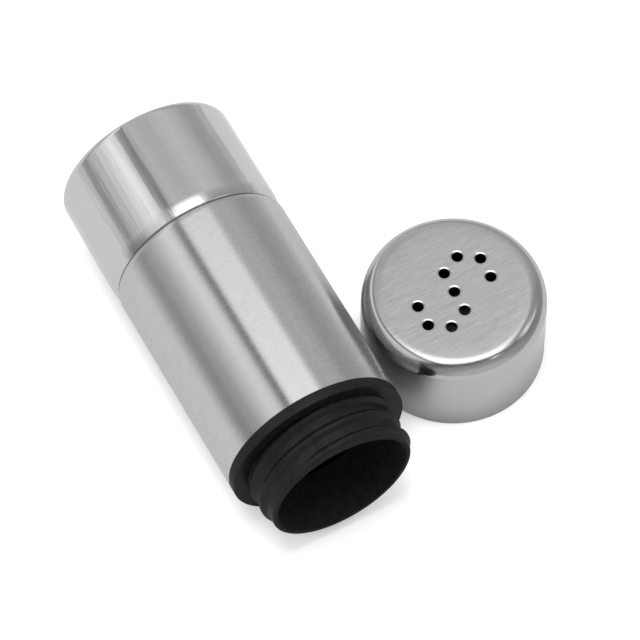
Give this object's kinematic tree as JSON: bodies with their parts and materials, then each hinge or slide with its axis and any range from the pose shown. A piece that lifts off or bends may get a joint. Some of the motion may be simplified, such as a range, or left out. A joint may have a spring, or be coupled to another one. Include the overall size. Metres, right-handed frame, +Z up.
{
  "type": "spice shaker with screw cap",
  "caption": "Round steel spice shaker: container with a black threaded neck, lying on its side, and its screw cap with pour holes standing beside it.",
  "frame": {"origin": "middle of the space that the container and its cap take up together, on the table", "axes": "+X along the container from its closed end to its mouth, +Z up"},
  "size_m": [0.1018, 0.093, 0.0453],
  "materials": {
    "polished_steel": "polished stainless steel",
    "brushed_steel": "stainless steel brushed round the body",
    "cap_steel": "stainless steel, brushed flat top and polished shoulder",
    "black_plastic": "black moulded plastic, semi-matte",
    "liner_plastic": "black moulded plastic, semi-matte",
    "seal_rubber": "soft dark seal"
  },
  "bodies": {
    "container": {"base_cup": "polished_steel", "body_sleeve": "brushed_steel", "inner_bottle": "black_plastic"},
    "seal_ring": {"cap_seal": "seal_rubber"},
    "cap": {"cap_liner": "liner_plastic", "cap_shell": "cap_steel"}
  },
  "joints": [
    {"name": "cap_lift", "type": "slide", "parent": "container", "child": "seal_ring", "axis": [0, 0, 1], "range_m": [0, 0.06]},
    {"name": "cap_turn", "type": "hinge", "parent": "seal_ring", "child": "cap", "pos_m": [0.01855, 0.02413, 0], "axis": [0, 0, 1], "range_deg": [-640, 0]}
  ]
}
